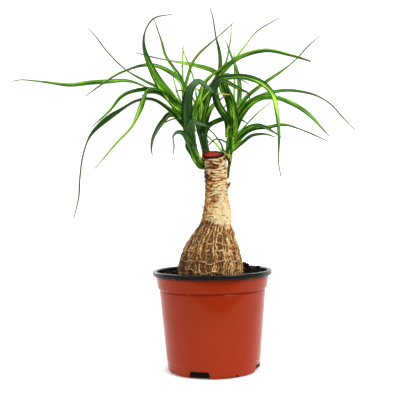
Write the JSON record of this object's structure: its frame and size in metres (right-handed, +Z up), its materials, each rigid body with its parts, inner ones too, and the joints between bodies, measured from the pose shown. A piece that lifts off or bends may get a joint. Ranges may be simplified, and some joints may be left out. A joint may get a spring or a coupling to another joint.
{
  "type": "potted ponytail palm",
  "caption": "Potted ponytail palm with a swollen netted base, a wax-sealed cut trunk and leafy side shoots, in a round moulded nursery pot filled with soil.",
  "frame": {"origin": "centre of the pot's flat underside, where the pot rests", "axes": "+Z up along the pot's axis, +X to the right as seen from the front, -Y towards the viewer of the front"},
  "size_m": [0.4761, 0.24, 0.5122],
  "materials": {
    "pot_plastic": "terracotta-red injection-moulded polypropylene with a soft gloss",
    "soil": "dark crumbly potting soil",
    "bark": "corky netted bark on the swollen base, pale papery bark above",
    "wax": "red grafting wax, softly glossy",
    "leaf": "waxy strap leaves, mid green with dry tips"
  },
  "bodies": {
    "root": {"nursery_pot": "pot_plastic", "potting_soil": "soil", "caudex_trunk": "bark", "wax_seal": "wax", "shoot_left": "leaf", "shoot_centre": "leaf", "shoot_right": "leaf"}
  },
  "joints": []
}
